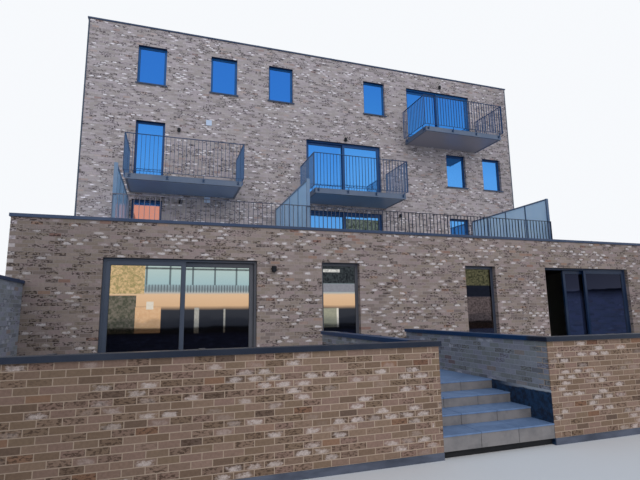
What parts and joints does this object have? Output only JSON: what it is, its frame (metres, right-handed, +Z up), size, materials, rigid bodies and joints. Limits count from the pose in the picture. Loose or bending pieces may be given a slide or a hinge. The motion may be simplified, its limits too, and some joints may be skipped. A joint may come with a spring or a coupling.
{
  "type": "apartment block",
  "caption": "Brick apartment block with a ground floor that reaches forward under a terrace, steel balconies, garden walls and a stair.",
  "frame": {"origin": "middle of the plan at street level", "axes": "+Z up, the garden front faces -Y, +X to the right seen from the garden side's street"},
  "size_m": [17.51, 21.79, 12.015],
  "materials": {
    "facade_brick": "rough brick with pale blotches",
    "garden_brick": "rough brick",
    "concrete": "cast concrete",
    "stair_stone": "honed stone tiles",
    "paving": "paving slabs",
    "membrane": "waterproof coating",
    "roofing": "mineral roofing felt",
    "anthracite_metal": "satin anthracite powder coat",
    "balcony_steel": "satin grey paint",
    "balcony_soffit": "smooth dark panels",
    "glass": "clear reflective sealed units",
    "frosted_glass": "frosted",
    "lamp_black": "matt black",
    "vent_white": "matt white"
  },
  "bodies": {
    "block": {"front_wall_first": "facade_brick", "front_wall_second": "facade_brick", "front_wall_third": "facade_brick", "gable_walls": "facade_brick", "back_wall_ground": "facade_brick", "back_wall_first": "facade_brick", "back_wall_second": "facade_brick", "back_wall_third": "facade_brick", "podium_foot": "facade_brick", "podium_piers": "facade_brick", "podium_head": "facade_brick", "podium_side_walls": "facade_brick", "front_garden_walls": "garden_brick", "stair_walls": "garden_brick", "side_garden_walls": "garden_brick", "stair_core": "concrete", "floor_slabs": "concrete", "wall_kerbs": "concrete", "stair_treads": "stair_stone", "stair_risers": "stair_stone", "terrace_paving": "paving", "stair_membrane": "membrane", "roof_slab": "roofing", "garden_copings": "anthracite_metal", "roof_copings": "anthracite_metal", "edge_trims": "anthracite_metal", "window_frames": "anthracite_metal", "window_sills": "anthracite_metal", "back_window_frames": "anthracite_metal", "upper_door_frames": "anthracite_metal", "patio_frames": "anthracite_metal", "balcony_rail_fronts": "anthracite_metal", "balcony_rail_sides": "anthracite_metal", "terrace_rail": "anthracite_metal", "screen_frames": "anthracite_metal", "balcony_channels": "balcony_steel", "balcony_decks": "balcony_soffit", "window_glass": "glass", "back_window_glass": "glass", "upper_door_glass": "glass", "patio_fixed_glass": "glass", "screen_glass": "frosted_glass", "wall_lamps": "lamp_black", "vent_covers": "vent_white"},
    "left_door_leaf": {"left_leaf_frame": "anthracite_metal", "left_leaf_glass": "glass"},
    "right_door_leaf": {"right_leaf_frame": "anthracite_metal", "right_leaf_glass": "glass"}
  },
  "joints": [
    {"name": "left_door_slide", "type": "slide", "parent": "block", "child": "left_door_leaf", "axis": [1, 0, 0], "range_m": [-1.42, 0]},
    {"name": "right_door_slide", "type": "slide", "parent": "block", "child": "right_door_leaf", "axis": [1, 0, 0], "range_m": [-0.77, 0.65]}
  ]
}
